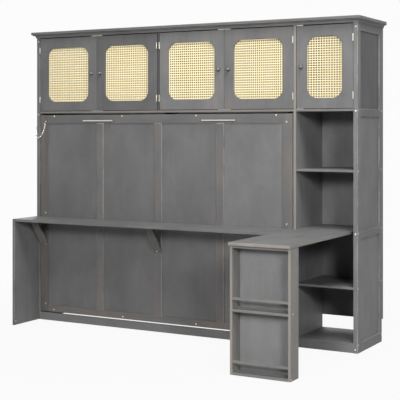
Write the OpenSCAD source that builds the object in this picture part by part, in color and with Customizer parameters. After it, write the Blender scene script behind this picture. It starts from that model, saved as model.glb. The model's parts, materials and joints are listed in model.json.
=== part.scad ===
// Horizontal wall bed in a full-length cabinet: cane-fronted cupboards over the bed,
// a long desk that folds on the bed face, a shelf tower and a wing desk on a bookcase leg.
// Millimetres, +Z up. The origin is at floor level in the middle of the overall footprint.
// The sleeper's room is on the -Y side and the wall on the +Y side.

/* [Carcass] */
// Width between the outer faces of the two side frames
body_w = 2456; // [2300:1:2700]
// Height from the floor to the underside of the top board
carcass_h = 2030; // [1950:1:2150]
// Depth of the side frames, without the frame on the back
carcass_d = 435; // [420:1:520]
// Thickness of the side frames
side_t = 28; // [24:1:36]
// Thickness of the cupboard divider and of the wall between bed and tower
divider_t = 19; // [16:1:28]
// How far the cupboard divider lies behind the front
divider_setback = 6; // [0:1:8]
// Clear width inside the shelf tower
tower_w = 384; // [340:1:440]
// Thickness of the fixed shelves
shelf_t = 15; // [14:1:22]
// Height of the cupboard floor's upper face
hutch_floor_z = 1501; // [1495:1:1520]
// Thickness of the thin back panels
back_panel_t = 6; // [4:0.5:9]

/* [Crown] */
// Thickness of the top board behind the cove moulding
top_t = 22; // [18:1:28]
// Thickness of the capping board
cap_t = 18; // [15:1:25]
// How far the capping board reaches past the moulding at the front
cap_lip = 14; // [5:1:30]
// How far it reaches past the moulding at each end
cap_end_lip = 2; // [1:0.5:20]
// Projection of the moulding's lower fillet
cove_foot = 6; // [4:0.5:12]
// Radius of the hollow in the cove moulding
cove_r = 12; // [8:0.5:14]

/* [Side frames] */
// Width of the front and back stiles of a side frame
side_stile_w = 47; // [40:1:60]
// Height of the bottom rail of a side frame
side_foot_rail_h = 63; // [50:1:80]
// Height of the other rails of a side frame
side_rail_h = 48; // [40:1:60]
// Thickness of the panels in the side frames
side_panel_t = 10; // [8:1:12]
// How far those panels lie back from the outer face
side_panel_inset = 6; // [4:1:8]
// Depth of every panel groove
groove_d = 8; // [5:1:10]

/* [Back frame] */
// Thickness of the frame that closes the back and takes the wall screws
back_frame_t = 25; // [20:1:30]
// Width of the back frame's rails
back_rail_w = 90; // [70:1:110]
// Width of the back frame's uprights
back_stile_w = 60; // [50:1:70]
// Height of the back frame's lower edge, left open for skirting and plugs
back_open_z = 144; // [110:1:160]
// Radius of the wall screw holes
wall_hole_r = 4; // [3:0.5:5]
// Distance between the wall screw holes along the rails
wall_hole_span = 1800; // [1600:10:1900]

/* [Tower] */
// Height of the upper tower shelf's upper face
shelf_1_z = 1124; // [1000:1:1250]
// Height of the lower tower shelf's upper face
shelf_2_z = 403; // [320:1:500]
// Height of the tower floor's upper face
tower_floor_z = 60; // [50:1:80]
// Thickness of the plinth boards
plinth_t = 18; // [15:1:22]
// How far the tower's shelves and plinth lie behind the front
shelf_setback = 4; // [2:1:10]
// Height of the base rail under the bed
base_rail_h = 54; // [40:1:58]

/* [Doors] */
// Gap beside and under each cupboard door
door_gap = 3; // [2.5:0.5:4]
// Gap over each cupboard door
door_top_gap = 5; // [2:0.5:8]
// Thickness of the doors
door_t = 18; // [16:1:22]
// Width of the wood beside the window of a wide door
door_stile_w = 69; // [60:1:85]
// Width of the wood beside the window of the tower door
tower_door_stile_w = 72; // [60:1:85]
// Width of the wood below the window
door_rail_w = 66; // [55:1:80]
// Width of the wood above the window
door_top_rail_w = 71; // [55:1:90]
// Corner radius of the window
window_r = 65; // [30:1:80]
// Width of the rebate behind the window
rebate_w = 9; // [6:1:12]
// Depth of the rebate behind the window
rebate_d = 8; // [5:1:10]
// Thickness of the cane net
cane_t = 2.4; // [1.6:0.2:3]
// Distance between the centres of the net's holes
cane_pitch = 41; // [36:1:60]
// Side of one hole in the net
cane_hole = 24; // [20:1:30]
// Radius of the door knobs
knob_r = 13; // [9:0.5:14]
// Length of the door knobs
knob_l = 29; // [25:1:34]
// Radius of the rose at the foot of a knob
knob_rose_r = 8; // [6:0.5:10]

/* [Bed] */
// Gap between the bed and the cabinet at each end
bed_gap = 5; // [4:0.5:8]
// Gap between the bed's upper edge and the cupboard floor
bed_top_gap = 12; // [5:0.5:14]
// Height of the bed's lower edge when it is up
bed_foot_z = 64; // [60:1:90]
// Thickness of the bed's face frame
face_t = 18; // [16:1:22]
// Width of the face frame's outer stiles
face_stile_w = 70; // [60:1:90]
// Width of the face frame's middle stiles
mullion_w = 58; // [50:1:70]
// Height of the face frame's upper rail
face_top_rail_h = 59; // [50:1:80]
// Height of the face frame's lower rail
face_foot_rail_h = 45; // [40:1:60]
// Thickness of the panels in the face frame
face_panel_t = 7; // [5:1:8]
// How far those panels lie back from the face
face_panel_inset = 6; // [4:1:7]
// Depth of the bed box, with the face frame
bed_d = 150; // [135:1:170]
// Thickness of the bed box boards
box_t = 18; // [16:1:24]
// Height of the battens behind the face, which carry the slats
batten_h = 36; // [30:1:45]
// Depth of those battens
batten_d = 34; // [30:1:40]
// Number of slats
slat_count = 13; // [9:1:17]
// Width of a slat
slat_w = 70; // [60:1:90]
// Thickness of a slat
slat_t = 16; // [14:1:20]

/* [Bed pivot] */
// Distance of the pivot behind the face
pivot_y = 100; // [90:1:105]
// Radius of the pivot pins
pivot_r = 8; // [6:0.5:10]
// Radial clearance of every pin in its bush or knuckle
pin_clearance = 0.05; // [0.02:0.01:0.1]
// Wall of the pivot bushes
bush_wall = 4; // [3:0.5:5]
// Thickness of the steel pivot plates
plate_t = 3; // [2:0.5:3.5]
// Width of the steel pivot plates
plate_w = 90; // [70:1:94]
// Height of the steel pivot plates
plate_h = 140; // [100:1:180]

/* [Desks] */
// Height of the desks' upper faces
desk_z = 744; // [700:1:780]
// Thickness of the desk boards and of the end panel
desk_t = 18; // [16:1:25]
// Reach of the long desk in front of the bed
desk_d = 278; // [240:1:300]
// Gap between the lowered desk's front edge and the floor
floor_gap = 2; // [1:0.5:10]
// Gap between the long desk's ends and its neighbours
desk_end_gap = 3; // [2:0.5:5]
// Reach of the wing desk in front of the cabinet
wing_reach = 884; // [700:1:1000]
// Gap between the wing desk and the tower's right side
wing_side_gap = 28; // [10:1:60]
// How far the wing desk's left edge lies outside the tower wall
wing_lap = 3; // [0:0.5:3]
// Width of the braces under the long desk
brace_w = 57; // [45:1:58]
// Thickness of the braces
brace_t = 18; // [15:1:22]
// Height of a brace up to the desk
brace_h = 192; // [150:1:210]
// How far a brace reaches out under the desk
brace_reach = 138; // [100:1:150]
// Clearance of resting faces that belong to moving pieces
rest_gap = 0.3; // [0.2:0.1:0.6]

/* [Bookcase leg] */
// How far the leg's front lies behind the wing desk's front edge
leg_setback = 18; // [10:1:60]
// How far the leg's sides lie inside the wing desk's edges
leg_inset = 3; // [0:1:20]
// Depth of the leg
leg_d = 108; // [90:1:160]
// Thickness of the leg's boards
leg_t = 15; // [12:1:22]
// Thickness of the leg's back board
leg_back_t = 12; // [6:1:15]
// Height of the leg's shelf, upper face
leg_shelf_z = 369; // [250:1:480]
// Height of the retaining bars above the board below them
bar_lift = 52; // [30:1:80]
// Side of the square retaining bars
bar_w = 15; // [12:1:22]

/* [Pulls] */
// Length of the bar pulls
pull_l = 250; // [180:5:300]
// Radius of the bar pulls
pull_r = 5; // [4:0.5:7]
// Distance of a pull's axis in front of the face
pull_out = 27; // [22:1:35]
// Distance between the posts of a pull
pull_span = 192; // [128:1:224]
// Distance of the pulls below the bed's upper edge
pull_drop = 42; // [35:1:50]

/* [Hinges] */
// Height of a door hinge
hinge_l = 44; // [40:1:60]
// Radius of a door hinge's knuckles
knuckle_r = 3.6; // [3:0.2:4]
// Thickness of a door hinge's leaves
leaf_t = 1.1; // [0.8:0.1:1.2]
// Width of a door hinge's leaves
leaf_w = 16; // [14:1:17]
// Distance of the hinges' middles inside the ends of the window
hinge_inset = 14; // [0:1:40]
// Radius of every hinge pin
hinge_pin_r = 1.5; // [1.2:0.1:1.8]
// Length of a desk hinge
desk_hinge_l = 50; // [40:1:56]
// Radius of a desk hinge's knuckles
desk_knuckle_r = 4.2; // [3.6:0.2:4.6]
// Thickness of a desk hinge's leaves
desk_leaf_t = 1.5; // [1.2:0.1:1.8]

/* [Hidden] */
$fn = 48;
// cutters run this far past the faces they cut
cut = 1;
// glue line between boards that are joined but stay pieces of their own
glue = 0.1;
// uprights of the carcass, from the left
bay_w = (body_w - 2 * side_t - 2 * divider_t - tower_w) / 2;
divider_x = side_t + bay_w;
tower_wall_x = divider_x + divider_t + bay_w;
tower_x = tower_wall_x + divider_t;
bed_bay_w = tower_wall_x - side_t;
total_d = carcass_d + back_frame_t;
inner_d = carcass_d - back_panel_t;
// crown
cove_fillet = (top_t - cove_r) / 2;
cove_reach = cove_foot + cove_r + cove_fillet;
// bed
bed_x = side_t + bed_gap;
bed_w = bed_bay_w - 2 * bed_gap;
bed_top_z = hutch_floor_z - shelf_t - bed_top_gap;
bed_h = bed_top_z - bed_foot_z;
mullion_count = 3;
face_inner_w = bed_w - 2 * face_stile_w;
face_panel_w = (face_inner_w - mullion_count * mullion_w) / (mullion_count + 1);
face_panel_h = bed_h - face_top_rail_h - face_foot_rail_h;
box_inner_w = bed_w - 2 * box_t;
box_inner_h = bed_h - 2 * box_t;
pivot_z = pivot_y + desk_d + floor_gap;
bush_r = pivot_r + pin_clearance + bush_wall;
// doors
door_z = hutch_floor_z + door_gap;
door_h = carcass_h - hutch_floor_z - door_gap - door_top_gap;
window_h = door_h - door_rail_w - door_top_rail_w;
door_w = (bay_w - 3 * door_gap) / 2;
tower_door_w = tower_w - 2 * door_gap;
door_x = [side_t + door_gap, side_t + 2 * door_gap + door_w, divider_x + divider_t + door_gap,
    divider_x + divider_t + 2 * door_gap + door_w, tower_x + door_gap];
door_ws = [door_w, door_w, door_w, door_w, tower_door_w];
knob_rose_t = 2;
door_stiles = [door_stile_w, door_stile_w, door_stile_w, door_stile_w, tower_door_stile_w];
hinged_left = [true, false, true, false, false];
// desk hinge: its axis lies between the bed face and the back edge of the desk
knuckle_gap = 0.4;
desk_hinge_off = desk_knuckle_r + knuckle_gap + desk_leaf_t;
desk_axis_y = -desk_hinge_off;
desk_axis_z = desk_z - desk_knuckle_r;
desk_back_y = 2 * desk_axis_y;
desk_leaf_w = desk_t - 2 * desk_knuckle_r - 2 * knuckle_gap;
// the wing desk covers the front edge of the tower wall
wing_x = tower_wall_x - wing_lap;
wing_w = wing_lap + divider_t + tower_w - wing_side_gap;
leg_x = wing_x + leg_inset;
leg_w = wing_w - 2 * leg_inset;
leg_y = leg_setback - wing_reach;
leg_h = desk_z - desk_t;
desk_x = desk_t + desk_end_gap;
desk_w = wing_x - desk_end_gap - desk_x;

grey = [0.42, 0.42, 0.41];
edge_grey = [0.5, 0.49, 0.47];
steel = [0.7, 0.7, 0.7];
cane_tan = [0.93, 0.84, 0.6];
pale_wood = [0.75, 0.66, 0.52];

// The pieces are drawn from the cabinet's lower left front corner and moved here to the origin
module at_origin() {
    translate([-body_w / 2, (wing_reach - total_d) / 2, 0])
        children();
}

// ---- joinery shared by the side frames and the bed face ----

// An upright: x is its width, y its thickness, with a panel groove in one or both edges
module grooved_stile(h, w, t, panel_y, panel_t, left, right) {
    difference() {
        cube([w, t, h]);
        if (left)
            translate([-cut, panel_y, -cut])
                cube([groove_d + cut, panel_t, h + 2 * cut]);
        if (right)
            translate([w - groove_d, panel_y, -cut])
                cube([groove_d + cut, panel_t, h + 2 * cut]);
    }
}

// A rail between two stiles: stub tenons enter their grooves, and panels enter its own
module tenoned_rail(l, h, t, panel_y, panel_t, below, above) {
    difference() {
        union() {
            translate([glue, 0, 0])
                cube([l - 2 * glue, t, h]);
            translate([glue - groove_d, panel_y + glue, 0])
                cube([l + 2 * (groove_d - glue), panel_t - 2 * glue, h]);
        }
        if (below)
            translate([-groove_d - cut, panel_y, -cut])
                cube([l + 2 * (groove_d + cut), panel_t, groove_d + cut]);
        if (above)
            translate([-groove_d - cut, panel_y, h - groove_d])
                cube([l + 2 * (groove_d + cut), panel_t, groove_d + cut]);
    }
}

// A panel that fills a clear opening and its grooves
module grooved_panel(w, h, panel_y, panel_t) {
    translate([-groove_d, panel_y, -groove_d])
        cube([w + 2 * groove_d, panel_t, h + 2 * groove_d]);
}

// ---- carcass ----

side_inner_d = carcass_d - 2 * side_stile_w;
// lower edges of a side frame's four rails
side_rail_z = [0, leg_h - side_rail_h / 2, hutch_floor_z - side_rail_h, carcass_h - side_rail_h];
side_rail_hs = [side_foot_rail_h, side_rail_h, side_rail_h, side_rail_h];

// A side frame lies along x here, with its outer face at y = 0
module side_frame() {
    grooved_stile(carcass_h, side_stile_w, side_t, side_panel_inset, side_panel_t, false, true);
    translate([carcass_d - side_stile_w, 0, 0])
        grooved_stile(carcass_h, side_stile_w, side_t, side_panel_inset, side_panel_t, true, false);
    for (i = [0 : 3])
        translate([side_stile_w, 0, side_rail_z[i]])
            tenoned_rail(side_inner_d, side_rail_hs[i], side_t, side_panel_inset, side_panel_t,
                i > 0, i < 3);
}

module side_frame_panels() {
    for (i = [0 : 2])
        translate([side_stile_w, 0, side_rail_z[i] + side_rail_hs[i]])
            grooved_panel(side_inner_d, side_rail_z[i + 1] - side_rail_z[i] - side_rail_hs[i],
                side_panel_inset, side_panel_t);
}

// Turns a side frame so that its outer face looks left
module facing_left() {
    mirror([1, 0, 0])
        rotate([0, 0, 90])
            children();
}

// Turns a side frame so that its outer face looks right
module facing_right() {
    translate([body_w, 0, 0])
        rotate([0, 0, 90])
            children();
}

module left_side_frame() {
    color(grey)
        facing_left()
            side_frame();
}

module right_side_frame() {
    color(grey)
        facing_right()
            side_frame();
}

module side_panels() {
    color(grey) {
        facing_left()
            side_frame_panels();
        facing_right()
            side_frame_panels();
    }
}

// Fills the hollow inside the left frame where the pivot plate is screwed on
module pivot_board() {
    margin = 40;
    board_t = side_t - side_panel_inset - side_panel_t;
    color(grey)
        translate([side_t - board_t, side_stile_w, side_foot_rail_h])
            cube([board_t, pivot_y + plate_w / 2 + margin - side_stile_w,
                side_rail_z[1] - side_foot_rail_h]);
}

module hutch_divider() {
    color(grey)
        translate([divider_x, divider_setback, hutch_floor_z])
            cube([divider_t, inner_d - divider_setback, carcass_h - hutch_floor_z]);
}

module tower_wall() {
    color(edge_grey)
        translate([tower_wall_x, 0, 0])
            cube([divider_t, carcass_d, carcass_h]);
}

module hutch_floor() {
    color(grey)
        translate([side_t, 0, hutch_floor_z - shelf_t])
            cube([bed_bay_w, inner_d, shelf_t]);
}

module carcass_top() {
    color(grey)
        translate([0, 0, carcass_h])
            cube([body_w, total_d, top_t]);
}

// Section of the cove moulding: x is how far it stands out, y its height
module cove_section(inner) {
    translate([-inner, 0])
        square([inner + cove_foot, top_t]);
    translate([cove_foot, cove_fillet])
        difference() {
            square([cove_r, cove_r]);
            translate([cove_r, 0])
                circle(r = cove_r);
        }
    translate([0, top_t - cove_fillet])
        square([cove_reach, cove_fillet]);
}

// The three runs meet in mitres, because each is cut by the section of the other
module cove_moulding() {
    color(edge_grey)
        translate([0, 0, carcass_h])
            difference() {
                intersection() {
                    translate([-cove_reach, 0, 0])
                        rotate([90, 0, 90])
                            linear_extrude(height = body_w + 2 * cove_reach)
                                mirror([1, 0])
                                    cove_section(total_d);
                    translate([0, total_d, 0])
                        rotate([90, 0, 0])
                            linear_extrude(height = total_d + cove_reach)
                                union() {
                                    translate([body_w, 0])
                                        cove_section(body_w / 2 + cut);
                                    mirror([1, 0])
                                        cove_section(body_w / 2 + cut);
                                }
                }
                translate([0, 0, -cut])
                    cube([body_w, total_d + cut, top_t + 2 * cut]);
            }
}

module cap_board() {
    color(grey)
        translate([-cove_reach - cap_end_lip, -cove_reach - cap_lip, carcass_h + top_t])
            cube([body_w + 2 * (cove_reach + cap_end_lip), total_d + cove_reach + cap_lip, cap_t]);
}

back_rail_z = [back_open_z, hutch_floor_z - back_rail_w, carcass_h - back_rail_w];
back_stile_x = [0, tower_wall_x + (divider_t - back_stile_w) / 2, body_w - back_stile_w];

// Three rails with short uprights between them. The lower two rails are bored for the wall screws.
module back_frame() {
    color(grey) {
        difference() {
            for (z = back_rail_z)
                translate([0, carcass_d, z])
                    cube([body_w, back_frame_t, back_rail_w]);
            for (side = [-1, 1], i = [0, 1])
                translate([side_t + bed_bay_w / 2 + side * wall_hole_span / 2, carcass_d - cut,
                        back_rail_z[i] + back_rail_w / 2])
                    rotate([-90, 0, 0])
                        cylinder(r = wall_hole_r, h = back_frame_t + 2 * cut);
        }
        for (x = back_stile_x, i = [0, 1])
            translate([x, carcass_d, back_rail_z[i] + back_rail_w + glue])
                cube([back_stile_w, back_frame_t,
                    back_rail_z[i + 1] - back_rail_z[i] - back_rail_w - 2 * glue]);
    }
}

module back_panels() {
    color(grey) {
        translate([side_t, inner_d, hutch_floor_z - shelf_t])
            cube([bed_bay_w, back_panel_t, carcass_h - hutch_floor_z + shelf_t]);
        translate([tower_x, inner_d, back_open_z])
            cube([tower_w, back_panel_t, carcass_h - back_open_z]);
    }
}

module tower_shelves() {
    color(grey) {
        translate([tower_x, 0, hutch_floor_z - shelf_t])
            cube([tower_w, inner_d, shelf_t]);
        for (z = [shelf_1_z, shelf_2_z, tower_floor_z])
            translate([tower_x, shelf_setback, z - shelf_t])
                cube([tower_w, inner_d - shelf_setback, shelf_t]);
    }
}

// One board closes the foot of the tower, the other runs under the bed
module plinth_boards() {
    color(grey) {
        translate([tower_x, shelf_setback, 0])
            cube([tower_w, plinth_t, tower_floor_z - shelf_t]);
        translate([side_t, 0, 0])
            cube([bed_bay_w, plinth_t, base_rail_h]);
    }
}

module end_panel() {
    color(grey)
        translate([0, -desk_d, 0])
            cube([desk_t, desk_d, desk_z]);
}

// Steel plates with welded pins that stand into the bed's bushes
module pivot_plate() {
    translate([0, -plate_w / 2, -plate_h / 2])
        cube([plate_t, plate_w, plate_h]);
    rotate([0, 90, 0])
        cylinder(r = pivot_r, h = bed_gap + box_t);
}

module pivot_plates() {
    color(steel) {
        translate([side_t, pivot_y, pivot_z])
            pivot_plate();
        translate([tower_wall_x, pivot_y, pivot_z])
            mirror([1, 0, 0])
                pivot_plate();
    }
}

// Blocks under the cupboard floor that the bed comes up against
module bed_stops() {
    stop_w = 80;
    stop_d = 40;
    stop_h = 50;
    color(grey)
        for (x = [bed_x + box_t, side_t + (bed_bay_w - stop_w) / 2, bed_x + bed_w - box_t - stop_w])
            translate([x, bed_d + rest_gap, hutch_floor_z - shelf_t - stop_h])
                cube([stop_w, stop_d, stop_h]);
}

// ---- wing desk and its bookcase leg ----

// The board is notched round the tower wall and runs on inside the tower as a shelf
module wing_desk_top() {
    notch_w = tower_x - wing_x;
    color(grey)
        translate([wing_x, 0, leg_h])
            linear_extrude(height = desk_t)
                polygon([[0, -wing_reach], [wing_w, -wing_reach], [wing_w, inner_d], [notch_w, inner_d],
                    [notch_w, 0], [0, 0]]);
}

module leg_sides() {
    color(grey)
        for (x = [leg_x, leg_x + leg_w - leg_t])
            translate([x, leg_y, 0])
                cube([leg_t, leg_d, leg_h]);
}

module leg_shelves() {
    color(grey)
        for (z = [0, leg_shelf_z - leg_t, leg_h - leg_t])
            translate([leg_x + leg_t, leg_y, z])
                cube([leg_w - 2 * leg_t, leg_d - leg_back_t, leg_t]);
}

module leg_back() {
    color(grey)
        translate([leg_x + leg_t, leg_y + leg_d - leg_back_t, 0])
            cube([leg_w - 2 * leg_t, leg_back_t, leg_h]);
}

module leg_bars() {
    color(edge_grey)
        for (z = [leg_t, leg_shelf_z])
            translate([leg_x + leg_t, leg_y, z + bar_lift])
                cube([leg_w - 2 * leg_t, bar_w, bar_w]);
}

// ---- hinges ----

// One leaf with its knuckles. The pin is the z axis, the leaf lies on the -x side and runs to +y.
// spans are the knuckles' ends, and bore is zero on the leaf that carries the pin.
module hinge_leaf(l, r, off, t, w, spans, bore) {
    difference() {
        union() {
            translate([-off, r + knuckle_gap, 0])
                cube([t, w, l]);
            for (span = spans)
                translate([0, 0, span[0]]) {
                    cylinder(r = r, h = span[1] - span[0]);
                    translate([-off, -t / 2, 0])
                        cube([off, t, span[1] - span[0]]);
                    translate([-off, -t / 2, 0])
                        cube([t, r + knuckle_gap + t, span[1] - span[0]]);
                }
        }
        if (bore > 0)
            translate([0, 0, -cut])
                cylinder(r = bore, h = l + 2 * cut);
    }
}

// Outer knuckles and the pin
module pinned_leaf(l, r, off, t, w) {
    third = l / 3;
    hinge_leaf(l, r, off, t, w, [[0, third - knuckle_gap], [2 * third + knuckle_gap, l]], 0);
    cylinder(r = hinge_pin_r, h = l);
}

// Middle knuckle, bored for the pin
module bored_leaf(l, r, off, t, w) {
    third = l / 3;
    hinge_leaf(l, r, off, t, w, [[third, 2 * third]], hinge_pin_r + pin_clearance);
}

// Puts a door's two hinges on its hinged edge. The leaf of a left-hung door lies on its right.
module at_door_hinges(i) {
    x = hinged_left[i] ? door_x[i] - door_gap / 2 : door_x[i] + door_ws[i] + door_gap / 2;
    for (z = [hinge_inset, window_h - hinge_inset])
        translate([x, -knuckle_r, door_z + door_rail_w + z - hinge_l / 2])
            children();
}

module door_hinge_posts() {
    color(steel)
        for (i = [0 : 4])
            at_door_hinges(i)
                mirror([hinged_left[i] ? 0 : 1, 0, 0])
                    pinned_leaf(hinge_l, knuckle_r, door_gap / 2, leaf_t, leaf_w);
}

module door_hinges(i) {
    color(steel)
        at_door_hinges(i)
            mirror([hinged_left[i] ? 1 : 0, 0, 0])
                bored_leaf(hinge_l, knuckle_r, door_gap / 2, leaf_t, leaf_w);
}

// ---- doors ----

// Flat rectangle with round corners, centred
module rounded(w, h, r) {
    square([w - 2 * r, h], center = true);
    square([w, h - 2 * r], center = true);
    for (x = [-1, 1], z = [-1, 1])
        translate([x * (w / 2 - r), z * (h / 2 - r)])
            circle(r = r);
}

// Stands an outline up round the middle of door i's window, from depth y back
module in_door(i, y, t) {
    translate([door_x[i] + door_ws[i] / 2, y + t, door_z + door_rail_w + window_h / 2])
        rotate([90, 0, 0])
            linear_extrude(height = t)
                children();
}

module door_frame(i) {
    window_w = door_ws[i] - 2 * door_stiles[i];
    color(grey)
        difference() {
            translate([door_x[i], 0, door_z])
                cube([door_ws[i], door_t, door_h]);
            in_door(i, -cut, door_t + 2 * cut)
                rounded(window_w, window_h, window_r);
            in_door(i, door_t - rebate_d, rebate_d + cut)
                rounded(window_w + 2 * rebate_w, window_h + 2 * rebate_w, window_r + rebate_w);
        }
}

// A net of square holes that lies in the rebate. Holes that would break its round corners are left out.
module door_cane(i) {
    edge = rebate_w - rest_gap;
    w = door_ws[i] - 2 * door_stiles[i] + 2 * edge;
    h = window_h + 2 * edge;
    r = window_r + edge;
    columns = floor((w - 2 * rebate_w) / cane_pitch);
    rows = floor((h - 2 * rebate_w) / cane_pitch);
    step_x = (w - 2 * rebate_w) / columns;
    step_z = (h - 2 * rebate_w) / rows;
    color(cane_tan)
        in_door(i, door_t - rebate_d, cane_t)
            difference() {
                rounded(w, h, r);
                for (a = [0 : columns - 1], b = [0 : rows - 1]) {
                    x = (a - (columns - 1) / 2) * step_x;
                    z = (b - (rows - 1) / 2) * step_z;
                    past_x = max(0, abs(x) + cane_hole / 2 - w / 2 + r);
                    past_z = max(0, abs(z) + cane_hole / 2 - h / 2 + r);
                    if (norm([past_x, past_z]) < r - 2)
                        translate([x, z])
                            square([cane_hole, cane_hole], center = true);
                }
            }
}

// A ball knob on a short neck with a rose against the door
module door_knob(i) {
    x = hinged_left[i] ? door_x[i] + door_ws[i] - door_stiles[i] / 2 : door_x[i] + door_stiles[i] / 2;
    color(steel)
        translate([x, 0, door_z + door_h / 2])
            rotate([90, 0, 0]) {
                cylinder(r = knob_rose_r, h = knob_rose_t);
                cylinder(r = knob_rose_r / 2, h = knob_l - knob_r);
                translate([0, 0, knob_l - knob_r])
                    sphere(r = knob_r);
            }
}

// Thin strike plates in the gaps over and under the doors, where their free edges close
module catch_plates() {
    catch_w = 44;
    catch_clear = 1;
    color(steel)
        for (i = [0 : 4])
            translate([hinged_left[i] ? door_x[i] + door_ws[i] - catch_w : door_x[i], 3, 0]) {
                translate([0, 0, hutch_floor_z])
                    cube([catch_w, door_t - 6, door_gap - catch_clear]);
                translate([0, 0, door_z + door_h + catch_clear])
                    cube([catch_w, door_t - 6, door_top_gap - catch_clear]);
            }
}

// ---- bed ----

module bed_stiles() {
    color(grey)
        for (side = [0, 1])
            translate([bed_x + side * (bed_w - face_stile_w), 0, bed_foot_z])
                grooved_stile(bed_h, face_stile_w, face_t, face_panel_inset, face_panel_t,
                    side == 1, side == 0);
}

module bed_rails() {
    color(grey)
        translate([bed_x + face_stile_w, 0, 0]) {
            translate([0, 0, bed_foot_z])
                tenoned_rail(face_inner_w, face_foot_rail_h, face_t, face_panel_inset, face_panel_t,
                    false, true);
            translate([0, 0, bed_top_z - face_top_rail_h])
                tenoned_rail(face_inner_w, face_top_rail_h, face_t, face_panel_inset, face_panel_t,
                    true, false);
        }
}

// Middle stiles stand between the rails on tenons of their own
module bed_mullions() {
    color(edge_grey)
        for (i = [1 : mullion_count])
            translate([bed_x + face_stile_w + i * face_panel_w + (i - 1) * mullion_w, 0,
                    bed_foot_z + face_foot_rail_h]) {
                grooved_stile(face_panel_h, mullion_w, face_t, face_panel_inset, face_panel_t,
                    true, true);
                translate([groove_d, face_panel_inset, -groove_d])
                    cube([mullion_w - 2 * groove_d, face_panel_t, face_panel_h + 2 * groove_d]);
            }
}

module bed_panels() {
    color(grey)
        for (i = [0 : mullion_count])
            translate([bed_x + face_stile_w + i * (face_panel_w + mullion_w), 0,
                    bed_foot_z + face_foot_rail_h])
                grooved_panel(face_panel_w, face_panel_h, face_panel_inset, face_panel_t);
}

module bed_box_boards() {
    color(pale_wood)
        difference() {
            union() {
                for (z = [bed_foot_z, bed_top_z - box_t])
                    translate([bed_x, face_t, z])
                        cube([bed_w, bed_d - face_t, box_t]);
                for (x = [bed_x, bed_x + bed_w - box_t])
                    translate([x, face_t, bed_foot_z + box_t + glue])
                        cube([box_t, bed_d - face_t, box_inner_h - 2 * glue]);
            }
            for (x = [bed_x, bed_x + bed_w - box_t])
                translate([x - cut, pivot_y, pivot_z])
                    rotate([0, 90, 0])
                        cylinder(r = bush_r, h = box_t + 2 * cut);
        }
}

// Battens along the box and across its middle carry the slats
module bed_battens() {
    color(pale_wood)
        for (z = [bed_foot_z + box_t, bed_foot_z + (bed_h - batten_h) / 2,
                bed_top_z - box_t - batten_h])
            translate([bed_x + box_t, face_t, z])
                cube([box_inner_w, batten_d, batten_h]);
}

module bed_slats() {
    pitch = (box_inner_w - slat_w) / slat_count;
    color(pale_wood)
        for (i = [0 : slat_count - 1])
            translate([bed_x + box_t + pitch * (i + 0.5), face_t + batten_d,
                    bed_foot_z + box_t])
                cube([slat_w, slat_t, box_inner_h]);
}

module pivot_bush() {
    difference() {
        union() {
            rotate([0, 90, 0])
                cylinder(r = bush_r, h = box_t);
            translate([box_t, 0, 0])
                rotate([0, 90, 0])
                    cylinder(r = bush_r + bush_wall, h = bush_wall / 2);
        }
        translate([-cut, 0, 0])
            rotate([0, 90, 0])
                cylinder(r = pivot_r + pin_clearance, h = box_t + bush_wall + 2 * cut);
    }
}

module pivot_bushes() {
    color(steel) {
        translate([bed_x, pivot_y, pivot_z])
            pivot_bush();
        translate([bed_x + bed_w, pivot_y, pivot_z])
            mirror([1, 0, 0])
                pivot_bush();
    }
}

// Middle of mullion i, counted from the left
function mullion_mid(i) = bed_x + face_stile_w + i * face_panel_w + (i - 0.5) * mullion_w;

module bed_pulls() {
    color(steel)
        for (i = [1, mullion_count])
            translate([mullion_mid(i), 0, bed_top_z - pull_drop]) {
                translate([-pull_l / 2, -pull_out, 0])
                    rotate([0, 90, 0])
                        cylinder(r = pull_r, h = pull_l);
                for (side = [-1, 1])
                    translate([side * pull_span / 2, 0, 0])
                        rotate([90, 0, 0])
                            cylinder(r = pull_r - 1, h = pull_out);
            }
}

// A brace leans from the bed face out to the underside of the desk
module desk_braces() {
    top_z = leg_h - rest_gap;
    lean = atan2(brace_reach, brace_h);
    color(grey)
        for (x = [bed_x + face_stile_w / 2, mullion_mid(2), bed_x + bed_w - face_stile_w / 2])
            translate([x - brace_w / 2, 0, 0])
                rotate([90, 0, 90])
                    linear_extrude(height = brace_w)
                        polygon([[0, top_z - brace_h], [0, top_z - brace_h + brace_t / sin(lean)],
                            [brace_t / cos(lean) - brace_reach, top_z], [-brace_reach, top_z]]);
}

// Desk hinges sit on the bed's stiles and mullions
module at_desk_hinges() {
    for (x = [bed_x + face_stile_w / 2, mullion_mid(1), mullion_mid(2), mullion_mid(3),
            bed_x + bed_w - face_stile_w / 2])
        translate([x - desk_hinge_l / 2, desk_axis_y, desk_axis_z])
            rotate([90, 0, 90])
                rotate([0, 0, 180])
                    children();
}

module desk_hinge_fixed() {
    color(steel)
        at_desk_hinges()
            pinned_leaf(desk_hinge_l, desk_knuckle_r, desk_hinge_off, desk_leaf_t, desk_leaf_w);
}

module desk_hinge_moving() {
    color(steel)
        at_desk_hinges()
            mirror([1, 0, 0])
                bored_leaf(desk_hinge_l, desk_knuckle_r, desk_hinge_off, desk_leaf_t, desk_leaf_w);
}

module long_desk_top() {
    color(grey)
        translate([desk_x, -desk_d, leg_h])
            cube([desk_w, desk_d + desk_back_y, desk_t]);
}

// ---- safety chain ----

chain_wire_r = 1.6;
chain_link_w = 13;
chain_link_l = 21;
// least lengthwise play between two links
chain_play = 0.5;
// half the straight part of a link
link_rise = (chain_link_l - chain_link_w) / 2;
bar_r = 1.5;
staple_w = 14;
hook_out = 13;
// middles of the two bars that the end links hang on
staple_at = [bed_x + 42, -8, bed_top_z - face_top_rail_h];
hook_at = [-8, 9, staple_at[2] - 28];
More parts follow.
